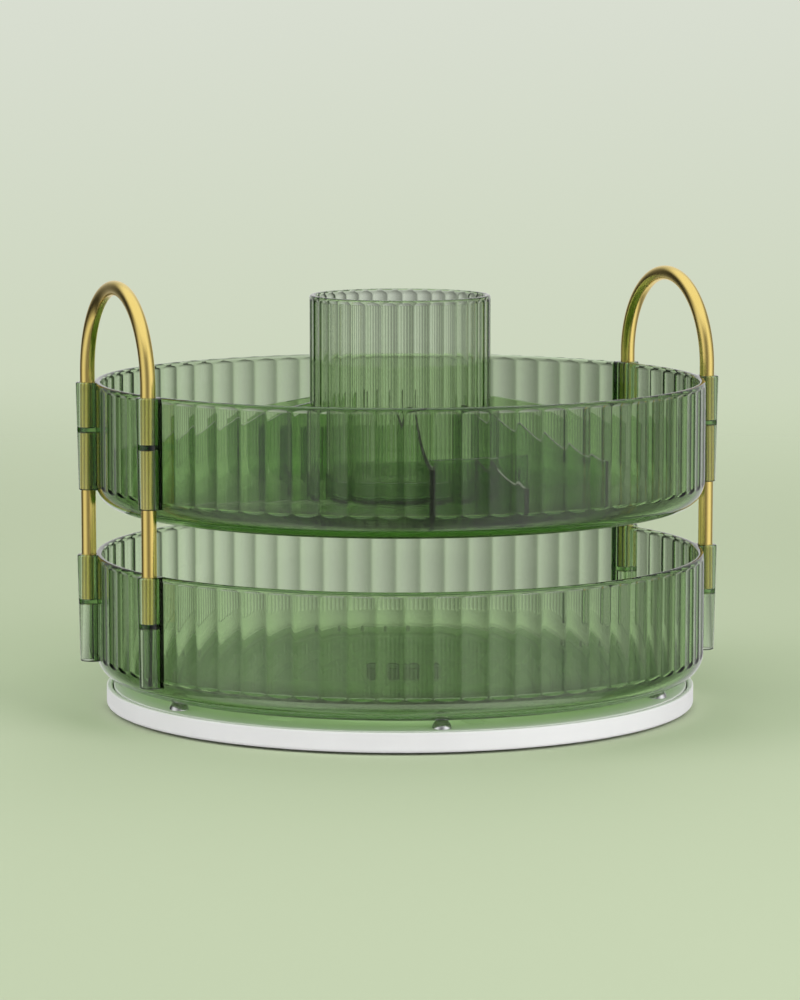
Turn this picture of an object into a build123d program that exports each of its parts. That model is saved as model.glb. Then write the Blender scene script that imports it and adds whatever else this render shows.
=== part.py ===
from build123d import *
import math
import os

# Two-tier rotating organiser, in millimetres.
# Z is up, X runs from handle to handle, and the origin is the middle of the face the feet stand on.

# Trays
TRAY_DIAMETER = 250.0
TRAY_HEIGHT = 51.0
TRAY_WALL = 2.6
TRAY_FLOOR = 2.5
TRAY_CORNER = 10.0
TRAY_INNER_CORNER = 7.5
TRAY_RIM_ROUND = 0.7
TRAY_BAND = 2.8
TRAY_FLUTES = 72
TRAY_FLUTE_DEPTH = 0.7
TRAY_FLUTE_LAND = 0.5

# Rods and the sockets that hold them
ROD_DIAMETER = 6.0
ROD_CHAMFER = 0.5
ROD_STANDOFF = 2.8
ROD_CLEARANCE = 0.05
SOCKET_DIAMETER = 9.6
SOCKET_LENGTH = 44.0
SOCKET_UPPER_DEPTH = 18.7
SOCKET_STOP = 1.5
POST_LENGTH = 69.0
HANDLE_WIDTH = 73.0
HANDLE_HEIGHT = 62.0

# Cup in the middle of the upper tray
CUP_DIAMETER = 74.0
CUP_HEIGHT = 83.0
CUP_WALL = 2.4
CUP_FLOOR = 2.2
CUP_CORNER = 3.0
CUP_INNER_CORNER = 2.0
CUP_RIM_ROUND = 0.6
CUP_BAND = 2.0
CUP_FLUTES = 36
CUP_FLUTE_DEPTH = 0.55
CUP_FLUTE_LAND = 0.4

# Divider insert around the cup
PANEL_THICKNESS = 2.0
PANEL_INNER_HEIGHT = 40.5
PANEL_OUTER_HEIGHT = 25.0
PANEL_TIP = 3.0
PANEL_HALF_ANGLE = 17.5
CROSS_PANEL_RADIUS = 76.0
CROSS_PANEL_HEIGHT = 23.5
SHORT_PANEL_OUTER_HEIGHT = 16.5
COLLAR_HEIGHT = 10.0
COLLAR_WALL = 1.6
INSERT_CLEARANCE = 0.5

# Base plate
BASE_INSET = 4.0
BASE_HEIGHT = 8.0
BASE_FLOOR = 2.0
BASE_CORNER = 1.2
BASE_LIP = 2.4
BASE_LIP_ROUND = 0.6
CHANNEL_WIDTH = 14.6
INNER_WALL = 2.4
INNER_WALL_HEIGHT = 4.5
MID_RING_DIAMETER = 130.0
RIB_WIDTH = 2.6
RIB_HEIGHT = 3.0
RIB_DRAFT = 12.0
SPOKES = 6
SPOKE_START = 30.0
OBLONG_LENGTH = 48.0
OBLONG_REACH = 15.0
OBLONG_ROUND = 5.0
OBLONG_RIM = 1.8
OBLONG_HEIGHT = 1.6
OBLONG_ANGLES = (0.0, 120.0)
HUB_DIAMETER = 21.6
HUB_HEIGHT = 5.0
HUB_BORE = 12.5

# Feet under the base plate
FEET = 6
FOOT_DIAMETER = 12.0
FOOT_THICKNESS = 1.6
FOOT_PROUD = 1.0
FOOT_INSET = 26.0
FOOT_CLEARANCE = 0.1
FOOT_CHAMFER = 0.3

# Bearing ring and its balls
RING_THICKNESS = 2.0
RING_OUTER_CLEARANCE = 0.6
RING_INNER_CLEARANCE = 1.0
BALLS = 6
BALL_START = 15.0
BALL_DIAMETER = 8.0
BALL_SINK = 0.4
BALL_FIT = 0.05
BALL_RUNNING_GAP = 0.1
BALL_BOSS_DIAMETER = 11.0
BALL_BOSS_HEIGHT = 4.0

# Pivot between the base plate and the lower tray
PIVOT_FIT = 0.05
PIVOT_GAP = 0.3
PIVOT_CHAMFER = 0.5
SPIGOT_FLATS = 8.0
SPIGOT_HEIGHT = 3.8
SPIGOT_CLEARANCE = 0.1
TRAY_STUB_DIAMETER = 18.0

# Places worked out from the sizes above
tray_radius = TRAY_DIAMETER / 2
tray_inner_radius = tray_radius - TRAY_WALL
rod_y = HANDLE_WIDTH / 2
rod_x = math.sqrt((tray_radius + ROD_STANDOFF) ** 2 - rod_y ** 2)
bore_radius = ROD_DIAMETER / 2 + ROD_CLEARANCE

base_radius = tray_radius - BASE_INSET
lip_inner_radius = base_radius - BASE_LIP
wall_outer_radius = lip_inner_radius - CHANNEL_WIDTH
wall_inner_radius = wall_outer_radius - INNER_WALL
ring_outer_radius = lip_inner_radius - RING_OUTER_CLEARANCE
ring_inner_radius = wall_outer_radius + RING_INNER_CLEARANCE
ball_circle_radius = (ring_outer_radius + ring_inner_radius) / 2

base_bottom = FOOT_PROUD
base_floor_top = base_bottom + BASE_FLOOR
hub_top = base_floor_top + HUB_HEIGHT
ring_bottom = base_floor_top + BALL_BOSS_HEIGHT
ring_top = ring_bottom + RING_THICKNESS
ball_centre_z = ring_top - BALL_SINK
lower_tray_z = ball_centre_z + BALL_DIAMETER / 2 + BALL_RUNNING_GAP
lower_rim_z = lower_tray_z + TRAY_HEIGHT
post_z = lower_rim_z - SOCKET_UPPER_DEPTH
upper_rim_z = post_z + POST_LENGTH + SOCKET_STOP + SOCKET_UPPER_DEPTH
upper_tray_z = upper_rim_z - TRAY_HEIGHT
upper_floor_z = upper_tray_z + TRAY_FLOOR
handle_z = upper_rim_z - SOCKET_UPPER_DEPTH


def column(radius, low, high):
    """A round bar about Z between two heights."""
    return Pos(0, 0, low) * Cylinder(radius, high - low, align=(Align.CENTER, Align.CENTER, Align.MIN))


def around(count, start=0.0):
    """Angles of a full circle of equal steps."""
    return [start + 360.0 * i / count for i in range(count)]


def turned(outline, radii):
    """A solid turned about Z from a closed outline of (radius, height) points with rounded corners."""
    wire = FilletPolyline(*outline, radius=radii, close=True)
    return revolve(Plane.XZ * make_face(wire), Axis.Z)


def vessel(radius, height, wall, floor, corner, inner_corner, rim_round):
    """A round open pot: flat floor, rounded corner, straight wall and softened rim."""
    inner = radius - wall
    outline = [(0, 0), (radius, 0), (radius, height), (inner, height), (inner, floor), (0, floor)]
    return turned(outline, [0, corner, rim_round, rim_round, inner_corner, 0])


def flute_tools(radius, count, depth, land, high):
    """Round-headed scoops that cut the flutes, in two sets whose members stay clear of each other."""
    half_angle = math.pi / count - land / 2 / radius
    valley = radius - depth
    span = radius ** 2 + valley ** 2 - 2 * radius * valley * math.cos(half_angle)
    scoop = span / (2 * (radius * math.cos(half_angle) - valley))
    head_rise = math.sqrt(2 * scoop * depth - depth ** 2)
    bar = column(scoop, 0, high - head_rise) + Pos(0, 0, high - head_rise) * Sphere(scoop)
    blade = Pos(valley + scoop, 0, 0) * bar & column(radius + depth, 0, high)
    blades = [Rot(0, 0, angle) * blade for angle in around(count)]
    return blades[0::2], blades[1::2]


def fluted(pot, radius, high, count, depth, land):
    """The pot with upright flutes that start under its rim and run out on its rounded corner."""
    for tools in flute_tools(radius, count, depth, land, high):
        pot = pot - tools
    return pot


def rod_places():
    """Axes of the four rods, by name."""
    return {
        "front_left": (-rod_x, -rod_y),
        "front_right": (rod_x, -rod_y),
        "back_left": (-rod_x, rod_y),
        "back_right": (rod_x, rod_y),
    }


def socket_lug(x, y, low, high):
    """A round-nosed lug for a rod, with straight sides that run back into the middle of the tray wall."""
    nose = tray_radius + ROD_STANDOFF
    root = tray_radius - TRAY_WALL / 2
    section = Pos(nose, 0) * Circle(SOCKET_DIAMETER / 2)
    section = section + Pos((nose + root) / 2, 0) * Rectangle(nose - root, SOCKET_DIAMETER)
    lug = Pos(0, 0, low) * extrude(section, high - low)
    return Rot(0, 0, math.degrees(math.atan2(y, x))) * lug


def tray():
    """A fluted tray with four rod sockets, standing on its own floor."""
    pot = vessel(
        tray_radius, TRAY_HEIGHT, TRAY_WALL, TRAY_FLOOR, TRAY_CORNER, TRAY_INNER_CORNER, TRAY_RIM_ROUND
    )
    flute_top = TRAY_HEIGHT - TRAY_BAND
    pot = fluted(pot, tray_radius, flute_top, TRAY_FLUTES, TRAY_FLUTE_DEPTH, TRAY_FLUTE_LAND)
    socket_bottom = TRAY_HEIGHT - SOCKET_LENGTH
    stop_top = TRAY_HEIGHT - SOCKET_UPPER_DEPTH
    stop_bottom = stop_top - SOCKET_STOP
    for x, y in rod_places().values():
        pot = pot + socket_lug(x, y, socket_bottom, TRAY_HEIGHT)
    for x, y in rod_places().values():
        pot = pot - Pos(x, y) * column(bore_radius, stop_top, TRAY_HEIGHT)
        pot = pot - Pos(x, y) * column(bore_radius, socket_bottom, stop_bottom)
    return pot


def hexagon_bar(flats, low, high):
    """A six-sided bar about Z between two heights."""
    section = RegularPolygon(flats / 2, 6, major_radius=False)
    return Pos(0, 0, low) * extrude(section, high - low)


def lower_tray():
    """The tray that turns: a stub under its floor takes the pivot's spigot."""
    stub_low = hub_top + PIVOT_GAP
    stub = column(TRAY_STUB_DIAMETER / 2, stub_low, lower_tray_z + TRAY_FLOOR / 2)
    socket_top = hub_top + SPIGOT_HEIGHT + PIVOT_GAP
    socket = hexagon_bar(SPIGOT_FLATS + 2 * SPIGOT_CLEARANCE, stub_low, socket_top)
    return Pos(0, 0, lower_tray_z) * shared_tray + stub - socket


def cup():
    """The fluted cup, standing on the floor of the upper tray."""
    radius = CUP_DIAMETER / 2
    pot = vessel(radius, CUP_HEIGHT, CUP_WALL, CUP_FLOOR, CUP_CORNER, CUP_INNER_CORNER, CUP_RIM_ROUND)
    pot = fluted(pot, radius, CUP_HEIGHT - CUP_BAND, CUP_FLUTES, CUP_FLUTE_DEPTH, CUP_FLUTE_LAND)
    return Pos(0, 0, upper_floor_z) * pot


def radial_panel(angle, start, start_height, end_height):
    """An upright panel that slopes down to the tray wall and follows its rounded corner."""
    end = tray_inner_radius - INSERT_CLEARANCE
    outline = [(start, 0), (end, 0), (end, end_height), (end - PANEL_TIP, end_height), (start, start_height)]
    corner = TRAY_INNER_CORNER + 2 * INSERT_CLEARANCE
    wire = FilletPolyline(*outline, radius=[0, corner, 0, 0, 0], close=True)
    sheet = extrude(Plane.XZ * make_face(wire), PANEL_THICKNESS / 2, both=True)
    return Rot(0, 0, angle) * sheet


def cross_panel(angle):
    """A curved panel that joins the two long panels either side of an angle."""
    ring = column(CROSS_PANEL_RADIUS + PANEL_THICKNESS / 2, 0, CROSS_PANEL_HEIGHT)
    ring = ring - column(CROSS_PANEL_RADIUS - PANEL_THICKNESS / 2, 0, CROSS_PANEL_HEIGHT)
    reach = 2 * CROSS_PANEL_RADIUS
    far_x = reach * math.cos(math.radians(PANEL_HALF_ANGLE))
    far_y = reach * math.sin(math.radians(PANEL_HALF_ANGLE))
    wedge = extrude(make_face(Polyline((0, 0), (far_x, -far_y), (far_x, far_y), close=True)), CROSS_PANEL_HEIGHT)
    return Rot(0, 0, angle) * (ring & wedge)


def divider_insert():
    """Panels on a low collar that drops over the foot of the cup."""
    collar_inner = CUP_DIAMETER / 2 + INSERT_CLEARANCE
    collar_outer = collar_inner + COLLAR_WALL
    long_start = collar_inner + COLLAR_WALL / 2
    collar = column(collar_outer, 0, COLLAR_HEIGHT)
    insert = collar
    for angle in (0, 180):
        insert = insert + radial_panel(angle, long_start, PANEL_INNER_HEIGHT, PANEL_OUTER_HEIGHT)
    for middle in (-90, 90):
        for side in (-PANEL_HALF_ANGLE, PANEL_HALF_ANGLE):
            insert = insert + radial_panel(middle + side, long_start, PANEL_INNER_HEIGHT, PANEL_OUTER_HEIGHT)
        insert = insert + cross_panel(middle)
        insert = insert + radial_panel(middle, CROSS_PANEL_RADIUS, CROSS_PANEL_HEIGHT, SHORT_PANEL_OUTER_HEIGHT)
    insert = insert - column(collar_inner, 0, PANEL_INNER_HEIGHT)
    return Pos(0, 0, upper_floor_z) * insert


def post(x, y):
    """A straight rod between a lower socket and the socket above it."""
    rod = column(ROD_DIAMETER / 2, post_z, post_z + POST_LENGTH)
    rod = chamfer(rod.edges().filter_by(GeomType.CIRCLE), ROD_CHAMFER)
    return Pos(x, y) * rod


def handle(x):
    """A rod bent into an arch, with both legs in the sockets of the upper tray."""
    arch_z = handle_z + HANDLE_HEIGHT - rod_y - ROD_DIAMETER / 2
    foot = (x, -rod_y, handle_z)
    near = (x, -rod_y, arch_z)
    top = (x, 0, arch_z + rod_y)
    far = (x, rod_y, arch_z)
    path = Wire([Line(foot, near), ThreePointArc(near, top, far), Line(far, (x, rod_y, handle_z))])
    rod = sweep(Plane(foot) * Circle(ROD_DIAMETER / 2), path)
    ends = rod.edges().filter_by(GeomType.CIRCLE).group_by(Axis.Z)[0]
    return chamfer(ends, ROD_CHAMFER)


def rib_ring(outer_radius, width, height):
    """A low round wall on the base floor."""
    low = base_floor_top - BASE_FLOOR / 2
    top = base_floor_top + height
    return column(outer_radius, low, top) - column(outer_radius - width, low, top)


def spoke(angle):
    """A drafted rib from the hub to the inner wall."""
    length = wall_outer_radius - INNER_WALL / 2
    foot_width = RIB_WIDTH + 2 * RIB_HEIGHT * math.tan(math.radians(RIB_DRAFT))
    low = base_floor_top - BASE_FLOOR / 2
    top = base_floor_top + RIB_HEIGHT
    outline = [
        (-foot_width / 2, low),
        (foot_width / 2, low),
        (foot_width / 2, base_floor_top),
        (RIB_WIDTH / 2, top),
        (-RIB_WIDTH / 2, top),
        (-foot_width / 2, base_floor_top),
    ]
    section = Plane.YZ * make_face(Polyline(*outline, close=True))
    return Rot(0, 0, angle) * extrude(section, length)


def oblong_rim(angle):
    """A raised edge round an oblong place against the inner wall."""
    outer = RectangleRounded(2 * OBLONG_REACH, OBLONG_LENGTH, OBLONG_ROUND)
    inner = RectangleRounded(
        2 * (OBLONG_REACH - OBLONG_RIM), OBLONG_LENGTH - 2 * OBLONG_RIM, OBLONG_ROUND - OBLONG_RIM
    )
    low = base_floor_top - BASE_FLOOR / 2
    rim = Pos(wall_inner_radius, 0, low) * extrude(outer - inner, OBLONG_HEIGHT + BASE_FLOOR / 2)
    rim = rim & column(wall_inner_radius + INNER_WALL / 2, low, base_floor_top + OBLONG_HEIGHT)
    return Rot(0, 0, angle) * rim


def foot_places():
    """Where the feet sit, between the spokes."""
    circle = base_radius - FOOT_INSET
    return [Rot(0, 0, angle) * Pos(circle, 0) for angle in around(FEET, SPOKE_START + 180.0 / SPOKES)]


def base_plate():
    """The white plate: lip, channel for the bearing ring, ribs and the hub for the pivot."""
    top = base_bottom + BASE_HEIGHT
    outline = [
        (0, base_bottom),
        (base_radius, base_bottom),
        (base_radius, top),
        (lip_inner_radius, top),
        (lip_inner_radius, base_floor_top),
        (0, base_floor_top),
    ]
    plate = turned(outline, [0, BASE_CORNER, BASE_LIP_ROUND, BASE_LIP_ROUND, 0, 0])
    plate = plate + rib_ring(wall_outer_radius, INNER_WALL, INNER_WALL_HEIGHT)
    plate = plate + rib_ring(MID_RING_DIAMETER / 2, RIB_WIDTH, RIB_HEIGHT)
    plate = plate + [spoke(angle) for angle in around(SPOKES, SPOKE_START)]
    plate = plate + [oblong_rim(angle) for angle in OBLONG_ANGLES]
    plate = plate + column(HUB_DIAMETER / 2, base_bottom, hub_top)
    plate = plate - column(HUB_BORE / 2, base_floor_top, hub_top)
    pocket = column(FOOT_DIAMETER / 2 + FOOT_CLEARANCE, base_bottom, FOOT_THICKNESS)
    return plate - [place * pocket for place in foot_places()]


def foot(place):
    """A soft pad set into the underside of the base plate."""
    pad = column(FOOT_DIAMETER / 2, 0, FOOT_THICKNESS)
    pad = chamfer(pad.edges().sort_by(Axis.Z)[0], FOOT_CHAMFER)
    return place * pad


def ball_places():
    """Centres of the bearing balls."""
    return [Rot(0, 0, angle) * Pos(ball_circle_radius, 0, ball_centre_z) for angle in around(BALLS, BALL_START)]


def bearing_ring():
    """A flat ring on round bosses, with a seat for a ball in each boss."""
    ring = column(ring_outer_radius, ring_bottom, ring_top)
    ring = ring - column(ring_inner_radius, ring_bottom, ring_top)
    boss_rise = ring_bottom - ball_centre_z
    boss = column(BALL_BOSS_DIAMETER / 2, boss_rise - BALL_BOSS_HEIGHT, boss_rise)
    ring = ring + [place * boss for place in ball_places()]
    return ring - [place * Sphere(BALL_DIAMETER / 2 + BALL_FIT) for place in ball_places()]


def pivot_pin():
    """A pin that turns in the hub and holds the lower tray by its six-sided spigot."""
    journal = column(HUB_BORE / 2 - PIVOT_FIT, base_floor_top, hub_top)
    journal = chamfer(journal.edges().filter_by(GeomType.CIRCLE).sort_by(Axis.Z)[0], PIVOT_CHAMFER)
    return journal + hexagon_bar(SPIGOT_FLATS, hub_top, hub_top + SPIGOT_HEIGHT)


shared_tray = tray()

nodes = {
    "base_plate": base_plate(),
    "bearing_ring": bearing_ring(),
    "pivot_pin": pivot_pin(),
    "lower_tray": lower_tray(),
    "upper_tray": Pos(0, 0, upper_tray_z) * shared_tray,
    "brush_cup": cup(),
    "divider_insert": divider_insert(),
    "handle_left": handle(-rod_x),
    "handle_right": handle(rod_x),
}
for number, place in enumerate(foot_places(), start=1):
    nodes[f"foot_pad_{number}"] = foot(place)
for number, place in enumerate(ball_places(), start=1):
    nodes[f"bearing_ball_{number}"] = place * Sphere(BALL_DIAMETER / 2)
for name, (x, y) in rod_places().items():
    nodes[f"post_{name}"] = post(x, y)

os.makedirs("parts", exist_ok=True)
for name, shape in nodes.items():
    export_step(shape, f"parts/{name}.step")
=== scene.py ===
import math

import bmesh
import bpy
from mathutils import Matrix, Vector


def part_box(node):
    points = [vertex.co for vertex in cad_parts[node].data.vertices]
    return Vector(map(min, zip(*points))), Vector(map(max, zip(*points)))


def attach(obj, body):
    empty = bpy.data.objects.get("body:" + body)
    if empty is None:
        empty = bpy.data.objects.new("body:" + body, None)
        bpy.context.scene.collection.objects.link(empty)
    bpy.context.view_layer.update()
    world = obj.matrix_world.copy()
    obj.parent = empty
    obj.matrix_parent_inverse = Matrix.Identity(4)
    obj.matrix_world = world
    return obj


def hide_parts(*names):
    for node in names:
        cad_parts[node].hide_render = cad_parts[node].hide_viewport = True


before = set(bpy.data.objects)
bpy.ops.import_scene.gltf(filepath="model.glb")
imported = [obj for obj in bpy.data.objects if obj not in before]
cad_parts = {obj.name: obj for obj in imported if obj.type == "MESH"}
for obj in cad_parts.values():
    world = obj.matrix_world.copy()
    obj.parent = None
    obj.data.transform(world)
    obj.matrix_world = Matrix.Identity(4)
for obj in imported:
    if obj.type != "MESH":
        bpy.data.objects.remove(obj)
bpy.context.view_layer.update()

# Sizes are in millimetres and angles in degrees. The model itself is in metres.
MM = 0.001
QUARTER_TURN = math.pi / 2
FULL_TURN = 2 * math.pi

# Trays
TRAY_RADIUS = 125.0
TRAY_HEIGHT = 51.0
TRAY_WALL = 2.6
TRAY_FLOOR = 2.5
TRAY_CORNER = 10.0
TRAY_INNER_CORNER = 7.5
TRAY_RIM_ROUND = 1.15
TRAY_FLUTES = 72
TRAY_FLUTE_DEPTH = 0.5
TRAY_FLUTE_LAND = 0.5
TRAY_FLUTE_TOP = 49.7
TRAY_FLUTE_HEAD = 1.3
TRAY_FLUTE_LOW = 8.8
TRAY_FLUTE_TAIL = 1.6
TRAY_FLUTE_STEPS = 12

# Rods and sockets
ROD_RADIUS = 3.0
ROD_EDGE = 0.5
ROD_CIRCLE = 127.8
ROD_Y = 36.5
ROD_X = math.sqrt(ROD_CIRCLE ** 2 - ROD_Y ** 2)
SOCKET_RADIUS = 4.8
SOCKET_BOTTOM = 7.0
SOCKET_DROP = 0.03
SOCKET_DRAFT = 0.9
SOCKET_EDGE = 0.8
SOCKET_FOOT_EDGE = 0.4
SOCKET_NOSE_STEPS = 24
BORE_RADIUS = 3.05
BORE_FLARE = 0.4
BORE_UPPER = 32.3
BORE_LOWER = 30.8
BORE_END_ROUND = 0.5
BORE_MOUTH_ROUND = 0.3
HANDLE_LEG_STEPS = 4
HANDLE_BEND_STEPS = 64

# Cup
CUP_RADIUS = 37.0
CUP_HEIGHT = 83.0
CUP_WALL = 2.4
CUP_FLOOR = 2.2
CUP_CORNER = 3.0
CUP_INNER_CORNER = 2.0
CUP_RIM_ROUND = 0.95
CUP_FLUTES = 36
CUP_FLUTE_DEPTH = 0.45
CUP_FLUTE_LAND = 0.4
CUP_FLUTE_TOP = 82.0
CUP_FLUTE_HEAD = 1.7
CUP_FLUTE_LOW = 2.6
CUP_FLUTE_TAIL = 1.2
CUP_FLUTE_STEPS = 20

# Divider insert
PANEL_HALF = 1.0
PANEL_EDGE = 0.35
PANEL_INNER_HEIGHT = 40.5
PANEL_OUTER_HEIGHT = 25.0
PANEL_TIP = 3.0
PANEL_END = 121.9
PANEL_CORNER = 8.5
PANEL_HALF_ANGLE = 17.5
CROSS_RADIUS = 76.0
CROSS_HEIGHT = 23.5
CROSS_STEPS = 24
CROSS_ANGLES = (-90, 90)
SIDE_ANGLES = (0, 180)
SHORT_DROP = 0.2
SHORT_OUTER_HEIGHT = 16.5
COLLAR_INNER = 37.5
COLLAR_OUTER = 39.1
COLLAR_HEIGHT = 10.0
COLLAR_EDGE = 0.4

# Base plate
BASE_RADIUS = 121.0
BASE_LIP = 118.6
BASE_WALL_OUTER = 104.0
BASE_WALL_INNER = 101.6
BASE_LOW = 1.0
BASE_FLOOR = 3.0
BASE_TOP = 9.0
BASE_WALL_TOP = 7.5
BASE_FOOT_ROUND = 1.2
BASE_LIP_ROUND = 0.7
BASE_ROOT_ROUND = 0.7
BASE_EDGE = 0.45
MID_RING_OUTER = 65.0
RIB_WIDTH = 2.6
RIB_TOP = 6.0
RIB_TOP_ROUND = 0.6
RIB_FLARE = 0.7
RIB_FOOT = 2.0
RIB_SINK = 0.8
HUB_RADIUS = 10.8
HUB_TOP = 8.0
HUB_BORE = 6.25
HUB_BORE_ROUND = 0.3
SPOKES = 6
SPOKE_START = 30.0
SPOKE_NEAR = HUB_BORE + 1.5
SPOKE_FAR = BASE_WALL_INNER + 1.2
OBLONG_LENGTH = 48.0
OBLONG_REACH = 15.0
OBLONG_ROUND = 5.0
OBLONG_RIM = 1.8
OBLONG_TOP = 4.6
OBLONG_EDGE = 0.4
OBLONG_ANGLES = (0.0, 120.0)
FEET = 6
FOOT_START = SPOKE_START + 180 / SPOKES
FOOT_CIRCLE = 95.0
FOOT_RADIUS = 6.0
FOOT_POCKET = 6.1
FOOT_TOP = 1.6
FOOT_LOW_ROUND = 0.35
FOOT_TOP_ROUND = 0.1

# Bearing ring, balls and pivot
RING_OUTER = 118.0
RING_INNER = 105.0
RING_LOW = 7.0
RING_TOP = 9.0
RING_EDGE = 0.4
BALLS = 6
BALL_START = 15.0
BALL_CIRCLE = 111.5
BALL_RADIUS = 4.0
BALL_SEAT = 4.05
BALL_Z = 8.6
BALL_ROWS = 24
BOSS_RADIUS = 5.5
BOSS_ROUND = 0.5
JOURNAL_RADIUS = 6.2
JOURNAL_LOW_ROUND = 0.5
JOURNAL_TOP_ROUND = 0.2
SPIGOT_FLATS = 8.0
SPIGOT_TOP = 11.8
SPIGOT_EDGE = 0.3
STUB_RADIUS = 9.0
STUB_LOW = 8.3
STUB_ROUND = 0.5
STUB_REACH = 1.2
STUB_SOCKET_TOP = 12.1
STUB_FLATS = 8.2

# The gap between pieces that stand on each other, and how far shapes that are joined or cut overlap
SEAT_GAP = 0.08
OVERLAP = 1.0

# Fineness of the meshes
SMALL_FACETS = 48
ROD_FACETS = 64
STUB_FACETS = 96
COLLAR_FACETS = 144
LARGE_FACETS = 256
ARC_STEPS = 4
WIDE_ARC_STEPS = 8
COLLAR_ARC_STEPS = 3
BASE_ARC_STEPS = 5
CORNER_STEPS = 12
WALL_STEPS = 6
LAND_STEPS = 2
EDGE_STEPS = 2
ARC_HOLD = 0.06
WELD = 0.002
RUN_OUT = 1e-6
SMOOTH_ANGLE = 16.0
SHARP_ANGLE = 30.0


# Numbers and places


def heights(node):
    """The heights of a CAD node's lowest and highest points."""
    return [corner.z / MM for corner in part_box(node)]


def spread(start, end, steps):
    """Evenly spaced numbers from start to end, both included."""
    return [start + (end - start) * k / steps for k in range(steps + 1)]


def on_circle(radius, count, start=0.0):
    """Evenly spaced places on a circle, the first at an angle from X."""
    angles = [math.radians(start) + FULL_TURN * k / count for k in range(count)]
    return [(radius * math.cos(a), radius * math.sin(a)) for a in angles]


def rounded(outline, steps=ARC_STEPS):
    """A path of (x, y, corner radius) points as plain points, with an arc at each corner that has a radius.

    A point just off each end of an arc keeps the shading of the straight stretches flat.
    """
    path = []
    count = len(outline)
    for i, (x, y, radius) in enumerate(outline):
        here = Vector((x, y))
        if radius == 0:
            path.append((x, y))
            continue
        before = (Vector(outline[i - 1][:2]) - here).normalized()
        after = (Vector(outline[(i + 1) % count][:2]) - here).normalized()
        half = before.angle(after) / 2
        middle = here + (before + after).normalized() * radius / math.sin(half)
        first = here + before * radius / math.tan(half)
        last = here + after * radius / math.tan(half)
        arm, end = first - middle, last - middle
        sweep = math.atan2(arm.x * end.y - arm.y * end.x, arm.dot(end))
        arc = [middle + Matrix.Rotation(sweep * k / steps, 2) @ arm for k in range(steps + 1)]
        arc = [first + before * ARC_HOLD] + arc + [last + after * ARC_HOLD]
        path += [(point.x, point.y) for point in arc]
    return path


# Mesh helpers


def mesh_of(name, points, faces):
    """A mesh from points in millimetres."""
    mesh = bpy.data.meshes.new(name)
    mesh.from_pydata([(x * MM, y * MM, z * MM) for x, y, z in points], [], faces)
    mesh.validate()
    mesh.update()
    return mesh


def woven(rows):
    """Faces between rings of corner numbers. Corners that fall together make a triangle, or no face."""
    faces = []
    for low, high in zip(rows, rows[1:]):
        count = len(low)
        for k in range(count):
            n = (k + 1) % count
            corners = []
            for corner in (low[k], low[n], high[n], high[k]):
                if corner not in corners:
                    corners.append(corner)
            if len(corners) > 2:
                faces.append(corners)
    return faces


def lathe(name, profile, facets):
    """A closed body turned about Z.

    Its path of (radius, height) points starts and ends on the axis, or goes round a section clear of it.
    """
    points, rows = [], []
    for radius, z in profile:
        first = len(points)
        if radius == 0:
            points.append((0, 0, z))
            rows.append([first] * facets)
        else:
            points += [(x, y, z) for x, y in on_circle(radius, facets)]
            rows.append(list(range(first, first + facets)))
    if profile[0][0] > 0:
        rows.append(rows[0])
    return mesh_of(name, points, woven(rows))


def capped(name, rings):
    """A closed body through rings of points of equal count, with a flat face at each end."""
    points = [point for ring in rings for point in ring]
    count = len(rings[0])
    rows = [list(range(first, first + count)) for first in range(0, len(points), count)]
    return mesh_of(name, points, woven(rows) + [rows[0][::-1], rows[-1]])


def prism(name, levels):
    """A closed body from outlines of equal count, each a height and its (x, y) points, bottom first."""
    return capped(name, [[(x, y, z) for x, y in outline] for z, outline in levels])


def hexagonal_bar(name, flats, low, high):
    """An upright bar with six sides."""
    sides = 6
    outline = on_circle(flats / 2 / math.cos(math.pi / sides), sides)
    return prism(name, [(low, outline), (high, outline)])


def turned(mesh, degrees):
    """The mesh turned about the upright axis."""
    mesh.transform(Matrix.Rotation(math.radians(degrees), 4, "Z"))
    return mesh


def moved(mesh, x=0.0, y=0.0, z=0.0):
    """The mesh moved by a distance along each axis."""
    mesh.transform(Matrix.Translation((x * MM, y * MM, z * MM)))
    return mesh


def gathered(meshes, name):
    """Several separate meshes as one."""
    work = bmesh.new()
    for mesh in meshes:
        work.from_mesh(mesh)
    result = bpy.data.meshes.new(name)
    work.to_mesh(result)
    work.free()
    for mesh in meshes:
        bpy.data.meshes.remove(mesh)
    return result


def scratch_object(mesh):
    """A linked object that holds a mesh while it is worked on."""
    holder = bpy.data.objects.new(mesh.name, mesh)
    bpy.context.scene.collection.objects.link(holder)
    return holder


def drop(holder):
    """Removes a scratch object and its mesh."""
    mesh = holder.data
    bpy.data.objects.remove(holder)
    bpy.data.meshes.remove(mesh)


def combined(mesh, tool, operation):
    """One closed mesh joined with, or cut by, another."""
    body = scratch_object(mesh)
    other = scratch_object(tool)
    step = body.modifiers.new("combine", "BOOLEAN")
    step.operation = operation
    step.solver = "MANIFOLD"
    step.object = other
    bpy.context.view_layer.update()
    graph = bpy.context.evaluated_depsgraph_get()
    result = bpy.data.meshes.new_from_object(body.evaluated_get(graph))
    result.name = mesh.name
    drop(body)
    drop(other)
    return result


def softened_edges(mesh, width):
    """The mesh with its sharp edges rounded."""
    work = bmesh.new()
    work.from_mesh(mesh)
    limit = math.radians(SHARP_ANGLE)
    sharp = [e for e in work.edges if len(e.link_faces) == 2 and e.calc_face_angle(0) > limit]
    bmesh.ops.bevel(
        work, geom=sharp, offset=width * MM, segments=EDGE_STEPS, profile=0.5, affect="EDGES",
        clamp_overlap=True
    )
    work.to_mesh(mesh)
    work.free()
    return mesh


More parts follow.
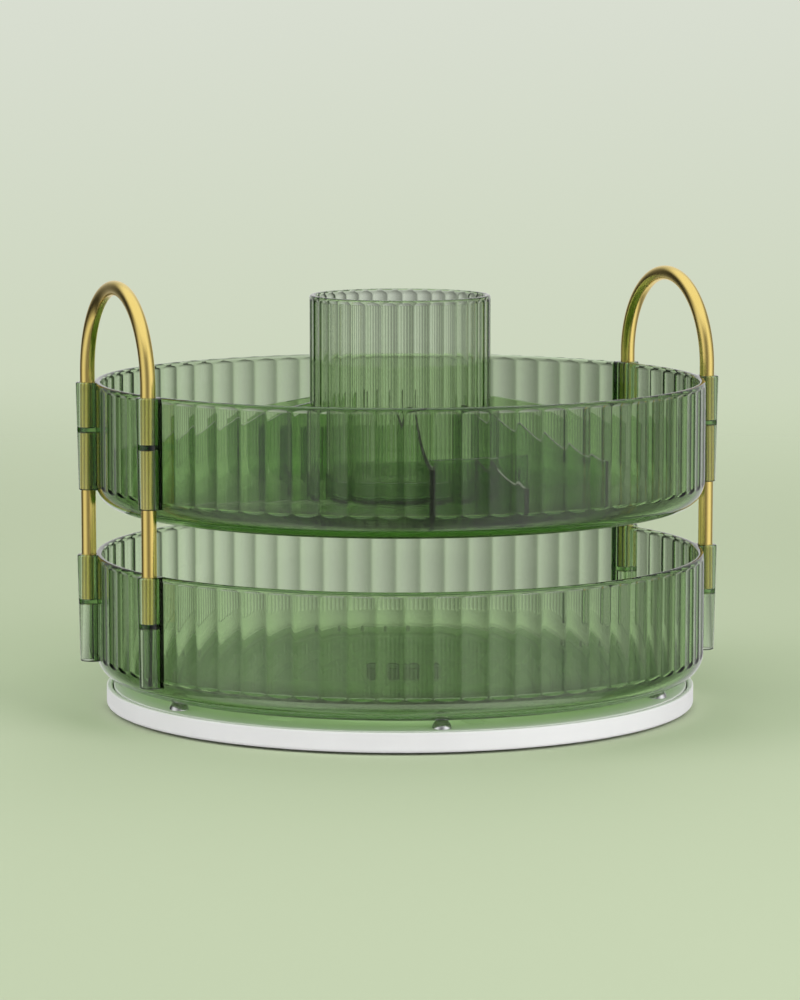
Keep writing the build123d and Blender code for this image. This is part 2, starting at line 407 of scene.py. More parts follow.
def weld(mesh):
    """Takes out the slivers and spare points that the joining of meshes leaves."""
    work = bmesh.new()
    work.from_mesh(mesh)
    bmesh.ops.remove_doubles(work, verts=work.verts, dist=WELD * MM)
    bmesh.ops.dissolve_degenerate(work, edges=work.edges, dist=WELD * MM)
    bmesh.ops.dissolve_verts(work, verts=[v for v in work.verts if len(v.link_edges) == 2])
    work.to_mesh(mesh)
    work.free()


def finished(name, mesh, material, body, node):
    """A smooth-shaded piece in place of a CAD node."""
    weld(mesh)
    for face in mesh.polygons:
        face.use_smooth = True
    mesh.set_sharp_from_angle(angle=math.radians(SMOOTH_ANGLE))
    mesh.materials.clear()
    mesh.materials.append(material)
    mesh.name = name
    piece = bpy.data.objects.new(name, mesh)
    bpy.context.scene.collection.objects.link(piece)
    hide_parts(node)
    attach(piece, body)
    return piece


# Node helpers


def node_material(name):
    """An empty node material, its tree and its output node."""
    material = bpy.data.materials.new(name)
    material.use_nodes = True
    tree = material.node_tree
    tree.nodes.clear()
    return material, tree, tree.nodes.new("ShaderNodeOutputMaterial")


def feed(tree, socket, value):
    """Links a socket to another one, or sets it to a plain value."""
    if isinstance(value, bpy.types.NodeSocket):
        tree.links.new(value, socket)
    else:
        socket.default_value = value


def add_node(tree, kind, inputs=None):
    """A new node with its inputs, by name or by number, linked or set."""
    node = tree.nodes.new(kind)
    for key, value in (inputs or {}).items():
        feed(tree, node.inputs[key], value)
    return node


def math_node(tree, operation, first, second=0.0):
    """One step of arithmetic on two values, each a number or a socket."""
    node = add_node(tree, "ShaderNodeMath", {0: first, 1: second})
    node.operation = operation
    return node.outputs[0]


def mixed(tree, factor, first, second):
    """A mix of two shaders by a socket's value."""
    return add_node(tree, "ShaderNodeMixShader", {0: factor, 1: first, 2: second}).outputs[0]


def mapped(tree, value, source, target, interpolation="LINEAR"):
    """A value taken from one range to another."""
    node = add_node(tree, "ShaderNodeMapRange", {
        "Value": value,
        "From Min": source[0],
        "From Max": source[1],
        "To Min": target[0],
        "To Max": target[1],
    })
    node.interpolation_type = interpolation
    return node.outputs["Result"]


def ramped(tree, value, first, last, *between):
    """A colour by a 0 to 1 value. Each stop is a position and a colour."""
    ramp = add_node(tree, "ShaderNodeValToRGB", {"Fac": value})
    elements = ramp.color_ramp.elements
    for element, (position, colour) in zip(elements, (first, last)):
        element.position = position
        element.color = colour
    for position, colour in between:
        elements.new(position).color = colour
    return ramp.outputs["Color"]


def noise(tree, scale, detail, stretch=(1, 1, 1)):
    """A noise pattern fixed to the piece, in object space."""
    place = add_node(tree, "ShaderNodeTexCoord")
    mapping = add_node(tree, "ShaderNodeMapping", {"Vector": place.outputs["Object"], "Scale": stretch})
    inputs = {"Vector": mapping.outputs["Vector"], "Scale": scale, "Detail": detail}
    return add_node(tree, "ShaderNodeTexNoise", inputs).outputs["Fac"]


def ranged(tree, pattern, limits):
    """A number between two limits by a noise pattern."""
    return mapped(tree, pattern, NOISE_RANGE, limits)


def tinted(tree, pattern, colours):
    """A colour between two others by a noise pattern."""
    return ramped(tree, pattern, *zip(TINT_STOPS, colours))


def bumped(tree, pattern, distance, strength):
    """Normals raised by a noise pattern."""
    inputs = {"Height": pattern, "Distance": distance, "Strength": strength}
    return add_node(tree, "ShaderNodeBump", inputs).outputs["Normal"]


# Materials

NOISE_RANGE = (0.25, 0.75)
TINT_STOPS = (0.3, 0.7)
PLASTIC_TINT = (0.345, 0.5965, 0.111, 1)
TRAY_DENSITY = 300
CUP_DENSITY = 180
INSERT_DENSITY = 480
GOLD = ((0.93, 0.71, 0.22, 1), (0.96, 0.75, 0.25, 1))
STEEL = ((0.74, 0.75, 0.77, 1), (0.82, 0.83, 0.84, 1))
WHITE = ((0.88, 0.88, 0.875, 1), (0.91, 0.91, 0.905, 1))
PIVOT_GREY = ((0.72, 0.72, 0.7, 1), (0.76, 0.76, 0.74, 1))
RUBBER_GREY = ((0.5, 0.5, 0.49, 1), (0.56, 0.56, 0.55, 1))


def clear_plastic(name, density):
    """Clear plastic that bends what is behind it and takes its colour from its thickness.

    The light of the lamps goes straight through it.
    """
    material, tree, output = node_material(name)
    plastic = add_node(tree, "ShaderNodeBsdfPrincipled", {
        "Base Color": (1, 1, 1, 1),
        "Roughness": 0.01,
        "IOR": 1.56,
        "Transmission Weight": 1.0,
        "Specular IOR Level": 0.18,
        "Normal": bumped(tree, noise(tree, scale=55, detail=2), distance=0.0002, strength=0.004),
    })
    straight = add_node(tree, "ShaderNodeBsdfTransparent")
    path = add_node(tree, "ShaderNodeLightPath").outputs
    lamplight = math_node(tree, "MAXIMUM", path["Is Shadow Ray"], path["Is Diffuse Ray"])
    feed(tree, output.inputs["Surface"], mixed(tree, lamplight, plastic.outputs[0], straight.outputs[0]))
    inside = add_node(tree, "ShaderNodeVolumeAbsorption", {"Color": PLASTIC_TINT, "Density": density})
    feed(tree, output.inputs["Volume"], inside.outputs[0])
    return material


def gold_metal(name):
    """Satin gold plating, with the faint lengthwise lines of drawn rod."""
    material, tree, output = node_material(name)
    patches = noise(tree, scale=90, detail=3)
    lines = noise(tree, scale=900, detail=2, stretch=(1, 1, 0.02))
    metal = add_node(tree, "ShaderNodeBsdfPrincipled", {
        "Metallic": 1.0,
        "Base Color": tinted(tree, patches, GOLD),
        "Roughness": ranged(tree, patches, (0.2, 0.25)),
        "Normal": bumped(tree, lines, distance=0.00002, strength=0.05),
    })
    feed(tree, output.inputs["Surface"], metal.outputs[0])
    return material


def moulded_plastic(name, colours, roughness, grain):
    """Opaque moulded plastic with a fine grain."""
    material, tree, output = node_material(name)
    clouds = noise(tree, scale=35, detail=4)
    plastic = add_node(tree, "ShaderNodeBsdfPrincipled", {
        "IOR": 1.46,
        "Base Color": tinted(tree, clouds, colours),
        "Roughness": ranged(tree, clouds, roughness),
        "Normal": bumped(tree, noise(tree, scale=grain, detail=3), distance=0.00008, strength=0.25),
    })
    feed(tree, output.inputs["Surface"], plastic.outputs[0])
    return material


def polished_steel(name):
    """Bright bearing steel."""
    material, tree, output = node_material(name)
    haze = noise(tree, scale=400, detail=2)
    metal = add_node(tree, "ShaderNodeBsdfPrincipled", {
        "Metallic": 1.0,
        "Base Color": tinted(tree, haze, STEEL),
        "Roughness": ranged(tree, haze, (0.05, 0.1)),
    })
    feed(tree, output.inputs["Surface"], metal.outputs[0])
    return material


# Fluted pots


class Flutes:
    """Scoops cut down the outside of a round wall, each with a curved end at its top and foot."""

    def __init__(self, radius, count, depth, land, across):
        self.radius = radius
        self.count = count
        self.across = across
        half_angle = math.pi / count - land / 2 / radius
        valley = radius - depth
        span = radius ** 2 + valley ** 2 - 2 * radius * valley * math.cos(half_angle)
        self.scoop = span / (2 * (radius * math.cos(half_angle) - valley))
        self.axis = valley + self.scoop
        self.fade = math.sqrt(2 * self.scoop * depth - depth ** 2)

    def cut_at(self, turn):
        """The scoop's radius on the way to its end, from full at 0 to run out at a quarter turn."""
        return math.sqrt(self.scoop ** 2 - (self.fade * math.sin(turn)) ** 2)

    def half_angle(self, cut):
        """The angle from the middle of a flute to its edge."""
        if cut == 0:
            return 0.0
        cosine = (self.radius ** 2 + self.axis ** 2 - cut ** 2) / (2 * self.radius * self.axis)
        return math.acos(min(1.0, cosine))

    def depth(self, turn, cut):
        """How deep a flute is at an angle from its middle."""
        along = math.sqrt(cut ** 2 - (self.axis * math.sin(turn)) ** 2)
        return self.radius - self.axis * math.cos(turn) + along

    def section(self, cut):
        """The (turn, depth) steps across one flute and the lands beside it.

        A flute that has run out, or has not begun, is a single step.
        """
        edge = self.half_angle(cut)
        half_pitch = math.pi / self.count
        land = [(half_pitch - edge) * j / LAND_STEPS for j in range(LAND_STEPS)]
        if edge < RUN_OUT:
            scoop = [(0.0, 0.0)]
        else:
            turns = [edge * (2 * j / self.across - 1) for j in range(1, self.across)]
            scoop = [(-edge, 0.0)] + [(turn, self.depth(turn, cut)) for turn in turns] + [(edge, 0.0)]
        before = [(step - half_pitch, 0.0) for step in land]
        after = [(edge + step, 0.0) for step in land[1:]]
        return before + scoop + after

    def ring(self, points, radius, z, cut):
        """Adds one level of the wall, and gives its corner numbers."""
        around = self.across + 2 * LAND_STEPS
        if radius == 0:
            points.append((0, 0, z))
            return [len(points) - 1] * (self.count * around)
        steps = self.section(cut)
        ring = []
        for k in range(self.count):
            middle = FULL_TURN * k / self.count
            for j, (turn, depth) in enumerate(steps):
                reach = radius - depth
                points.append((reach * math.cos(middle + turn), reach * math.sin(middle + turn), z))
                ring.append(len(points) - 1)
                if j == LAND_STEPS:
                    ring += [ring[-1]] * (around - len(steps))
        return ring


def fluted_pot(name, flutes, height, wall, floor, corner, inner_corner, rim, ends):
    """A closed pot, fluted outside and smooth inside, with rounded corners.

    ends gives the top of the flutes, the height of their heads, their foot and the height of their tails.
    """
    radius = flutes.radius
    top, head, low, tail = ends
    spring, start = top - head, low + tail
    quarter = spread(0, QUARTER_TURN, WIDE_ARC_STEPS)

    def outside(z):
        """The wall's radius where it turns in to the floor."""
        return radius - corner + math.sqrt(corner ** 2 - max(0.0, corner - z) ** 2)

    levels = [(0, 0, 0), ((radius - corner) / 2, 0, 0), (radius - corner, 0, 0)]
    for a in spread(QUARTER_TURN, math.asin(1 - low / corner), CORNER_STEPS)[1:-1]:
        levels.append((radius - corner * (1 - math.cos(a)), corner * (1 - math.sin(a)), 0))
    for a in reversed(quarter):
        z = low + tail * (1 - math.sin(a))
        levels.append((outside(z), z, flutes.cut_at(a)))
    levels += [(outside(z), z, flutes.scoop) for z in spread(start, spring, WALL_STEPS)[1:-1]]
    levels += [(radius, spring + head * math.sin(a), flutes.cut_at(a)) for a in quarter]
    inner = radius - wall
    inside = [(radius, top, 0), (radius, height, rim), (inner, height, rim)]
    inside += [(inner, floor, inner_corner), (0, floor, 0)]
    inside = rounded(inside, WIDE_ARC_STEPS)[1:-1] + [(inner / 2, floor), (0, floor)]
    levels += [(r, z, 0) for r, z in inside]
    points = []
    rows = [flutes.ring(points, r, z, cut) for r, z, cut in levels]
    return mesh_of(name, points, woven(rows))


# Trays


def socket_outline(inset, back):
    """A lug's outline seen from above, in from its full size and with its nose moved back."""
    half = SOCKET_RADIUS - inset
    root = TRAY_RADIUS - TRAY_WALL / 2
    nose = ROD_CIRCLE - back
    arc = spread(-QUARTER_TURN, QUARTER_TURN, SOCKET_NOSE_STEPS)
    return [(root, -half)] + [(nose + half * math.cos(a), half * math.sin(a)) for a in arc] + [(root, half)]


def socket_lug():
    """A round-nosed lug with a little draft and softened ends."""
    top = TRAY_HEIGHT - SOCKET_DROP
    foot, head = SOCKET_BOTTOM + SOCKET_FOOT_EDGE, top - SOCKET_EDGE
    quarter = spread(0, QUARTER_TURN, WIDE_ARC_STEPS)
    levels = [(foot - SOCKET_FOOT_EDGE * math.cos(a), SOCKET_FOOT_EDGE * (1 - math.sin(a))) for a in quarter]
    levels += [(foot + ARC_HOLD, 0.0), (head - ARC_HOLD, 0.0)]
    levels += [(head + SOCKET_EDGE * math.sin(a), SOCKET_EDGE * (1 - math.cos(a))) for a in quarter]
    slope = SOCKET_DRAFT / (top - SOCKET_BOTTOM)
    return prism("lug", [(z, socket_outline(inset, slope * (top - z))) for z, inset in levels])


def socket_bores():
    """The two blind bores of a lug, with flared mouths."""
    flare = BORE_RADIUS + BORE_FLARE
    above, below = TRAY_HEIGHT + OVERLAP, SOCKET_BOTTOM - OVERLAP
    upper = [(0, BORE_UPPER, 0), (BORE_RADIUS, BORE_UPPER, BORE_END_ROUND)]
    upper += [(BORE_RADIUS, TRAY_HEIGHT - BORE_FLARE, BORE_MOUTH_ROUND)]
    upper += [(flare, TRAY_HEIGHT, 0), (flare, above, 0), (0, above, 0)]
    lower = [(0, below, 0), (flare, below, 0), (flare, SOCKET_BOTTOM, 0)]
    lower += [(BORE_RADIUS, SOCKET_BOTTOM + BORE_FLARE, BORE_MOUTH_ROUND)]
    lower += [(BORE_RADIUS, BORE_LOWER, BORE_END_ROUND), (0, BORE_LOWER, 0)]
    bores = [lathe("bore", rounded(path), SMALL_FACETS) for path in (upper, lower)]
    return moved(gathered(bores, "bores"), x=ROD_CIRCLE)


def tray_mesh(name):
    """A fluted tray with its four rod sockets, standing at height 0."""
    flutes = Flutes(TRAY_RADIUS, TRAY_FLUTES, TRAY_FLUTE_DEPTH, TRAY_FLUTE_LAND, TRAY_FLUTE_STEPS)
    shell = (TRAY_HEIGHT, TRAY_WALL, TRAY_FLOOR, TRAY_CORNER, TRAY_INNER_CORNER, TRAY_RIM_ROUND)
    ends = (TRAY_FLUTE_TOP, TRAY_FLUTE_HEAD, TRAY_FLUTE_LOW, TRAY_FLUTE_TAIL)
    tray = fluted_pot(name, flutes, *shell, ends)
    side = math.degrees(math.atan2(ROD_Y, ROD_X))
    angles = (side, 180 - side, 180 + side, -side)
    lugs = [turned(socket_lug(), angle) for angle in angles]
    tray = combined(tray, gathered(lugs, "lugs"), "UNION")
    bores = [turned(socket_bores(), angle) for angle in angles]
    return combined(tray, gathered(bores, "bores"), "DIFFERENCE")


def add_lower_tray(material):
    """The tray that turns, with a stub under it that takes the pivot's spigot."""
    base = heights("lower_tray")[1] - TRAY_HEIGHT
    tray = moved(tray_mesh("lower_tray_shell"), z=base)
    top = base + STUB_REACH
    stub = [(0, STUB_LOW, 0), (STUB_RADIUS, STUB_LOW, STUB_ROUND), (STUB_RADIUS, top, 0), (0, top, 0)]
    tray = combined(tray, lathe("stub", rounded(stub), STUB_FACETS), "UNION")
    hole = hexagonal_bar("hole", STUB_FLATS, STUB_LOW - OVERLAP, STUB_SOCKET_TOP)
    tray = combined(tray, hole, "DIFFERENCE")
    finished("lower_tray_shell", tray, material, "lower_tray", "lower_tray")


def add_upper_tray(material):
    """The tray on the posts."""
    tray = moved(tray_mesh("upper_tray_shell"), z=heights("upper_tray")[0])
    finished("upper_tray_shell", tray, material, "upper_tray", "upper_tray")


# Cup and divider insert


def add_cup(material):
    """The fluted cup, a hair clear of the tray's floor."""
    flutes = Flutes(CUP_RADIUS, CUP_FLUTES, CUP_FLUTE_DEPTH, CUP_FLUTE_LAND, CUP_FLUTE_STEPS)
    shell = (CUP_HEIGHT - SEAT_GAP, CUP_WALL, CUP_FLOOR, CUP_CORNER, CUP_INNER_CORNER, CUP_RIM_ROUND)
    ends = (CUP_FLUTE_TOP, CUP_FLUTE_HEAD, CUP_FLUTE_LOW, CUP_FLUTE_TAIL)
    cup = fluted_pot("cup_shell", flutes, *shell, ends)
    moved(cup, z=heights("brush_cup")[0] + SEAT_GAP)
    finished("cup_shell", cup, material, "brush_cup", "brush_cup")


def upright_panel(start, start_height, end_height):
    """A panel along X whose top slopes down to a short flat tip and whose foot follows the tray's corner."""
    outline = [(start, SEAT_GAP, 0), (PANEL_END, SEAT_GAP, PANEL_CORNER), (PANEL_END, end_height, 0)]
    outline += [(PANEL_END - PANEL_TIP, end_height, 0), (start, start_height, 0)]
    path = rounded(outline, WIDE_ARC_STEPS)
    panel = capped("panel", [[(x, y, z) for x, z in path] for y in (PANEL_HALF, -PANEL_HALF)])
    return softened_edges(panel, PANEL_EDGE)


def cross_panel():
    """A curved panel across X that ends inside the two long panels beside it."""
    half = math.radians(PANEL_HALF_ANGLE)
    turns = spread(-half, half, CROSS_STEPS)
    outer, inner = CROSS_RADIUS + PANEL_HALF, CROSS_RADIUS - PANEL_HALF
    outline = [(outer * math.cos(a), outer * math.sin(a)) for a in turns]
    outline += [(inner * math.cos(a), inner * math.sin(a)) for a in reversed(turns)]
    panel = prism("cross", [(SEAT_GAP, outline), (CROSS_HEIGHT, outline)])
    return softened_edges(panel, PANEL_EDGE)


def add_insert(material):
    """The panels and the low collar that joins them, as one moulding."""
    ring = [(COLLAR_INNER, SEAT_GAP, COLLAR_EDGE), (COLLAR_OUTER, SEAT_GAP, COLLAR_EDGE)]
    ring += [(COLLAR_OUTER, COLLAR_HEIGHT, COLLAR_EDGE), (COLLAR_INNER, COLLAR_HEIGHT, COLLAR_EDGE)]
    insert = lathe("divider_panels", rounded(ring, COLLAR_ARC_STEPS), COLLAR_FACETS)
    start = (COLLAR_INNER + COLLAR_OUTER) / 2
    long_angles = list(SIDE_ANGLES)
    for middle in CROSS_ANGLES:
        long_angles += [middle - PANEL_HALF_ANGLE, middle + PANEL_HALF_ANGLE]
    for angle in long_angles:
        panel = upright_panel(start, PANEL_INNER_HEIGHT, PANEL_OUTER_HEIGHT)
        insert = combined(insert, turned(panel, angle), "UNION")
    for middle in CROSS_ANGLES:
        insert = combined(insert, turned(cross_panel(), middle), "UNION")
        panel = upright_panel(CROSS_RADIUS, CROSS_HEIGHT - SHORT_DROP, SHORT_OUTER_HEIGHT)
        insert = combined(insert, turned(panel, middle), "UNION")
    moved(insert, z=heights("divider_insert")[0])
    piece = finished(
        "divider_panels", insert, material, "divider_insert", "divider_insert"
    )
    flat = piece.modifiers.new("flat faces", "WEIGHTED_NORMAL")
    flat.keep_sharp = True


# Rods


def add_post(node, x, y, material):
    """A straight rod that stands a hair clear of the bores' ends."""
    low, high = heights(node)
    low, high = low + SEAT_GAP, high - SEAT_GAP
    path = [(0, low, 0), (ROD_RADIUS, low, ROD_EDGE), (ROD_RADIUS, high, ROD_EDGE), (0, high, 0)]
    rod = moved(lathe(node + "_rod", rounded(path), ROD_FACETS), x, y)
    finished(node + "_rod", rod, material, "posts", node)


def add_handle(node, x, material):
    """A rod bent into an arch, as rings along its middle line."""
    low, high = heights(node)
    low += SEAT_GAP
    foot = low + ROD_EDGE
    spring = high - ROD_RADIUS - ROD_Y
    quarter = spread(0, QUARTER_TURN, ARC_STEPS)
    leg = [(foot - ROD_EDGE * math.cos(a), ROD_RADIUS - ROD_EDGE * (1 - math.sin(a))) for a in quarter]
    leg.append((foot + ARC_HOLD, ROD_RADIUS))
    leg += [(z, ROD_RADIUS) for z in spread(low, spring, HANDLE_LEG_STEPS)[1:-1]]
    bend = spread(0, math.pi, HANDLE_BEND_STEPS)
    stations = [(-ROD_Y, z, 0.0, radius) for z, radius in leg]
    stations += [(-ROD_Y * math.cos(a), spring + ROD_Y * math.sin(a), a, ROD_RADIUS) for a in bend]
    stations += [(ROD_Y, z, math.pi, radius) for z, radius in reversed(leg)]
    rings = []
    for y, z, turn, radius in stations:
        across, up = math.cos(turn), math.sin(turn)
        circle = on_circle(radius, SMALL_FACETS)
        rings.append([(x + side, y + out * across, z - out * up) for side, out in circle])
    finished(node + "_rod", capped(node + "_rod", rings), material, node, node)


# Base plate and feet


def spoke(angle):
    """A rib with drafted sides, a rounded top and a flared foot."""
    half = RIB_WIDTH / 2
    side = [(half + RIB_FOOT, BASE_FLOOR - RIB_SINK, 0), (half + RIB_FLARE, BASE_FLOOR, BASE_ROOT_ROUND)]
    side += [(half, RIB_TOP, RIB_TOP_ROUND)]
    path = rounded(side + [(-y, z, radius) for y, z, radius in reversed(side)])
    rib = capped("spoke", [[(x, y, z) for y, z in path] for x in (SPOKE_NEAR, SPOKE_FAR)])
    return turned(rib, angle)


def oblong_rim(angle):
    """A raised edge on three sides of an oblong place against the inner wall."""
    far = BASE_WALL_INNER + OVERLAP
    near, inner_near = BASE_WALL_INNER - OBLONG_REACH, BASE_WALL_INNER - OBLONG_REACH + OBLONG_RIM
    half, inner_half = OBLONG_LENGTH / 2, OBLONG_LENGTH / 2 - OBLONG_RIM
    inner_round = OBLONG_ROUND - OBLONG_RIM
    outline = [(far, -half, 0), (near, -half, OBLONG_ROUND), (near, half, OBLONG_ROUND), (far, half, 0)]
    outline += [(far, inner_half, 0), (inner_near, inner_half, inner_round)]
    outline += [(inner_near, -inner_half, inner_round), (far, -inner_half, 0)]
    path = rounded(outline, WIDE_ARC_STEPS)[::-1]
    rim = prism("oblong", [(BASE_FLOOR - RIB_SINK, path), (OBLONG_TOP, path)])
    return turned(softened_edges(rim, OBLONG_EDGE), angle)


def add_base(material):
    """The plate with its lip, ring walls and hub turned as one, then the ribs and the feet's pockets."""
    path = [(0, BASE_LOW, 0), (BASE_RADIUS, BASE_LOW, BASE_FOOT_ROUND)]
    path += [(BASE_RADIUS, BASE_TOP, BASE_LIP_ROUND), (BASE_LIP, BASE_TOP, BASE_LIP_ROUND)]
    path += [(BASE_LIP, BASE_FLOOR, BASE_ROOT_ROUND)]
    walls = (
        (BASE_WALL_OUTER, BASE_WALL_INNER, BASE_WALL_TOP),
        (MID_RING_OUTER, MID_RING_OUTER - RIB_WIDTH, RIB_TOP),
    )
    for outer, inner, top in walls:
        path += [(outer, BASE_FLOOR, BASE_ROOT_ROUND), (outer, top, BASE_EDGE)]
        path += [(inner, top, BASE_EDGE), (inner, BASE_FLOOR, BASE_ROOT_ROUND)]
    path += [(HUB_RADIUS, BASE_FLOOR, BASE_ROOT_ROUND), (HUB_RADIUS, HUB_TOP, BASE_EDGE)]
    path += [(HUB_BORE, HUB_TOP, HUB_BORE_ROUND), (HUB_BORE, BASE_FLOOR, 0), (0, BASE_FLOOR, 0)]
    base = lathe("base_plate_body", rounded(path, BASE_ARC_STEPS), LARGE_FACETS)
    for k in range(SPOKES):
        base = combined(base, spoke(SPOKE_START + 360 * k / SPOKES), "UNION")
    for angle in OBLONG_ANGLES:
        base = combined(base, oblong_rim(angle), "UNION")
    low = BASE_LOW - OVERLAP
    pocket = [(0, low), (FOOT_POCKET, low), (FOOT_POCKET, FOOT_TOP), (0, FOOT_TOP)]
    places = on_circle(FOOT_CIRCLE, FEET, FOOT_START)
    pockets = [moved(lathe("pocket", pocket, SMALL_FACETS), *place) for place in places]
    base = combined(base, gathered(pockets, "pockets"), "DIFFERENCE")
    finished("base_plate_body", base, material, "base", "base_plate")


def add_feet(material):
    """The soft pads in the base plate's pockets."""
    path = [(0, 0, 0), (FOOT_RADIUS, 0, FOOT_LOW_ROUND)]
    path += [(FOOT_RADIUS, FOOT_TOP, FOOT_TOP_ROUND), (0, FOOT_TOP, 0)]
    for number, place in enumerate(on_circle(FOOT_CIRCLE, FEET, FOOT_START), start=1):
        node = f"foot_pad_{number}"
        pad = moved(lathe("pad", rounded(path), SMALL_FACETS), *place)
        finished(node + "_disc", pad, material, "base", node)


# Bearing ring, balls and pivot


def ball(radius):
    """A sphere at the height of the bearing balls, as rings from pole to pole."""
    turns = spread(-QUARTER_TURN, QUARTER_TURN, BALL_ROWS)[1:-1]
    path = [(radius * math.cos(a), BALL_Z + radius * math.sin(a)) for a in turns]
    return lathe("ball", [(0, BALL_Z - radius)] + path + [(0, BALL_Z + radius)], SMALL_FACETS)


def add_ring(material):
    """The flat ring, its round bosses, and the seats for the balls."""
    path = [(RING_INNER, RING_LOW, RING_EDGE), (RING_OUTER, RING_LOW, RING_EDGE)]
    path += [(RING_OUTER, RING_TOP, RING_EDGE), (RING_INNER, RING_TOP, RING_EDGE)]
    ring = lathe("bearing_ring_body", rounded(path), LARGE_FACETS)
    top = RING_LOW + OVERLAP
    boss = [(0, BASE_FLOOR, 0), (BOSS_RADIUS, BASE_FLOOR, BOSS_ROUND), (BOSS_RADIUS, top, 0), (0, top, 0)]
    places = on_circle(BALL_CIRCLE, BALLS, BALL_START)
    bosses = [moved(lathe("boss", rounded(boss), SMALL_FACETS), *place) for place in places]
    ring = combined(ring, gathered(bosses, "bosses"), "UNION")
    seats = [moved(ball(BALL_SEAT), *place) for place in places]
    ring = combined(ring, gathered(seats, "seats"), "DIFFERENCE")
    finished("bearing_ring_body", ring, material, "bearing_ring", "bearing_ring")


def add_balls(material):
    """The steel balls in the ring's seats."""
    for number, place in enumerate(on_circle(BALL_CIRCLE, BALLS, BALL_START), start=1):
        node = f"bearing_ball_{number}"
        sphere = moved(ball(BALL_RADIUS), *place)
        finished(node + "_sphere", sphere, material, f"ball_{number}", node)


def add_pivot(material):
    """The pin that turns in the hub, with a six-sided spigot on top."""
    journal = [(0, BASE_FLOOR, 0), (JOURNAL_RADIUS, BASE_FLOOR, JOURNAL_LOW_ROUND)]
    journal += [(JOURNAL_RADIUS, HUB_TOP, JOURNAL_TOP_ROUND), (0, HUB_TOP, 0)]
    pin = lathe("pivot_pin_body", rounded(journal), ROD_FACETS)
    spigot = hexagonal_bar("spigot", SPIGOT_FLATS, HUB_TOP - OVERLAP, SPIGOT_TOP)
    pin = combined(pin, softened_edges(spigot, SPIGOT_EDGE), "UNION")
    finished("pivot_pin_body", pin, material, "pivot", "pivot_pin")


def build():
    """Makes every piece with its material."""
    green = clear_plastic("green_clear_plastic", TRAY_DENSITY)
    pale_green = clear_plastic("pale_green_clear_plastic", CUP_DENSITY)
    deep_green = clear_plastic("deep_green_clear_plastic", INSERT_DENSITY)
    gold = gold_metal("satin_gold")
    white = moulded_plastic("white_moulding", WHITE, roughness=(0.36, 0.46), grain=1500)
    pivot = moulded_plastic("pivot_moulding", PIVOT_GREY, roughness=(0.3, 0.4), grain=1200)
    rubber = moulded_plastic("foot_rubber", RUBBER_GREY, roughness=(0.75, 0.88), grain=2500)
    steel = polished_steel("bearing_steel")
    add_base(white)
    add_feet(rubber)
    add_ring(white)
    add_balls(steel)
    add_pivot(pivot)
    add_lower_tray(green)
    add_upper_tray(green)
    add_cup(pale_green)
    add_insert(deep_green)
    add_post("post_front_left", -ROD_X, -ROD_Y, gold)
    add_post("post_front_right", ROD_X, -ROD_Y, gold)
    add_post("post_back_left", -ROD_X, ROD_Y, gold)
    add_post("post_back_right", ROD_X, ROD_Y, gold)
    add_handle("handle_left", -ROD_X, gold)
    add_handle("handle_right", ROD_X, gold)


# Floor, world, lights and camera, in metres and degrees

VIEW_AZIMUTH = -23.3
VIEW_ELEVATION = 7.0
VIEW_DISTANCE = 1.6
VIEW_TARGET = Vector((0, 0, 0.084))
VIEW_LENS = 140.0
VIEW_SENSOR = 36.0
VIEW_CLIP = (0.05, 50.0)

FLOOR_HALF = 6.0
FLOOR_FADE = (0.35, 1.6)
FLOOR_COLOUR = (0.53, 0.61, 0.42, 1)
HORIZON_COLOUR = (0.6, 0.67, 0.5, 1)
SKY_COLOUR = (0.72, 0.75, 0.68, 1)
FLOOR_STOP = 0.36
HORIZON_STOP = 0.45
SKY_STOP = 0.52
BOUNCE_COLOUR = (0.62, 0.62, 0.61, 1)
AMBIENT_COLOUR = (1, 1, 1, 1)
AMBIENT_STRENGTH = 0.4

# What clear plastic and metal show: the line of sight's angle from X, and the panels round the object
SIGHT_ANGLE = 90 + VIEW_AZIMUTH
THROUGH_COLOUR = (1.0, 1.0, 0.99, 1)
THROUGH_PANELS = {"count": 7, "middle": SIGHT_ANGLE + 13, "mean": 0.69, "swing": 0.31, "lean": 0.0}
THROUGH_HEIGHTS = (-0.5, 0.5)
THROUGH_TOP = 0.3
MIRROR_COLOUR = (1.0, 1.0, 0.98, 1)
MIRROR_PANELS = {"count": 3, "middle": SIGHT_ANGLE - 120, "mean": 0.5, "swing": 0.36, "lean": 0.13}
MIRROR_HEIGHTS = (0.3, 0.8)
MIRROR_TOP = 0.95

# Each lamp's name, its angles round from the camera and up, its distance, width and height, and its watts
LAMPS = (
    ("key", 47, 25, 1.5, 0.9, 1.6, 14),
    ("fill", -73, 25, 1.5, 0.9, 1.6, 10),
    ("rim", 170, 30, 1.6, 0.9, 1.6, 6.5),
    ("top", -30, 75, 1.6, 1.3, 1.3, 5),
)


